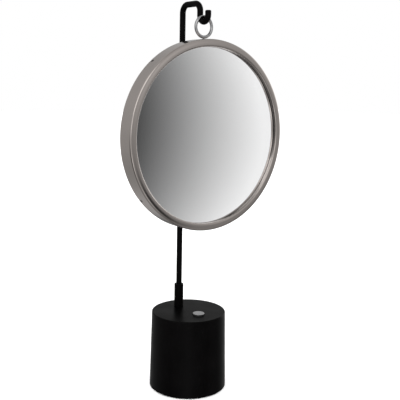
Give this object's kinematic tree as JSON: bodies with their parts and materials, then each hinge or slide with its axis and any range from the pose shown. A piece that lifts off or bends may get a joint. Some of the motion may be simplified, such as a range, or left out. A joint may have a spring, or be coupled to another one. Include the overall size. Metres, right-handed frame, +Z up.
{
  "type": "table mirror",
  "caption": "Round framed shaving mirror hung by a ring from a hooked rod that slides and turns in a weighted drum base with a push-button height lock.",
  "frame": {"origin": "centre of the foot pad's underside, on the surface the base stands on", "axes": "+Z up, the mirror faces -Y, +X to the right as seen along +Y"},
  "size_m": [0.25, 0.1084, 0.5327],
  "materials": {
    "black_powder_coat": "fine-textured satin powder coat",
    "satin_nickel": "warm grey polished satin nickel",
    "chrome_plate": "mirror-polished chrome plate",
    "silvered_glass": "clear silvered float glass",
    "cast_iron_raw": "as cast, lightly oiled",
    "zinc_plated_steel": "bright zinc plate",
    "spring_steel": "oiled spring steel",
    "blackened_steel": "blackened screw steel",
    "black_rubber": "moulded non-slip rubber",
    "black_nylon": "moulded nylon",
    "fibreboard": "bare medium-density fibreboard",
    "white_foam": "closed-cell foam",
    "gasket_black": "soft black gasket",
    "back_black": "matt black painted steel"
  },
  "bodies": {
    "base": {"base_shell": "black_powder_coat", "ballast_weight": "cast_iron_raw", "bottom_plate": "zinc_plated_steel", "foot_pad": "black_rubber", "bottom_screw_1": "zinc_plated_steel", "bottom_screw_2": "zinc_plated_steel", "bottom_screw_3": "zinc_plated_steel", "socket_tube": "black_powder_coat", "socket_nut": "zinc_plated_steel", "lock_bracket": "zinc_plated_steel", "fulcrum_pin": "spring_steel", "lock_spring": "spring_steel", "button_guide": "zinc_plated_steel"},
    "lock": {"lock_plate": "spring_steel"},
    "button": {"button_cap": "chrome_plate", "button_stem": "zinc_plated_steel", "button_clip": "spring_steel"},
    "bush": {"guide_bush": "black_nylon"},
    "rod": {"hook_rod": "black_powder_coat", "rod_stop_ring": "spring_steel"},
    "ring": {"hanging_ring": "chrome_plate", "ring_stud": "chrome_plate"},
    "mirror": {"frame_rim": "satin_nickel", "glass_gasket": "gasket_black", "mirror_glass": "silvered_glass", "foam_spacer": "white_foam", "backing_board": "fibreboard", "back_cover": "back_black", "rim_screw_1": "blackened_steel", "rim_screw_2": "blackened_steel", "rim_screw_3": "blackened_steel", "rim_screw_4": "blackened_steel", "back_screw_1": "zinc_plated_steel", "back_screw_2": "zinc_plated_steel", "back_screw_3": "zinc_plated_steel", "back_screw_4": "zinc_plated_steel"}
  },
  "joints": [
    {"name": "rod_swivel", "type": "hinge", "parent": "base", "child": "bush", "pos_m": [0, 0.024, 0.1266], "axis": [0, 0, 1], "continuous": true},
    {"name": "rod_height", "type": "slide", "parent": "bush", "child": "rod", "axis": [0, 0, 1], "range_m": [-0.02, 0.055]},
    {"name": "ring_swing", "type": "hinge", "parent": "rod", "child": "ring", "pos_m": [0, -0.0228, 0.5111], "axis": [-1, 0, 0], "range_deg": [-7, 25]},
    {"name": "mirror_swivel", "type": "hinge", "parent": "ring", "child": "mirror", "pos_m": [0, -0.0228, 0.4818], "axis": [0, 0, 1], "range_deg": [-45, 45]},
    {"name": "button_press", "type": "slide", "parent": "base", "child": "button", "axis": [0, 0, -1], "range_m": [0, 0.002], "stiffness_N_per_m": 900, "springref_m": -0.001},
    {"name": "lock_tilt", "type": "hinge", "parent": "base", "child": "lock", "pos_m": [0, 0.012, 0.088], "axis": [1, 0, 0], "range_deg": [0, 3.3], "deforming": ["lock_spring"]}
  ],
  "couplings": [
    {"joint": "lock_tilt", "follows": "button_press", "rad_per_m": 28.4}
  ]
}
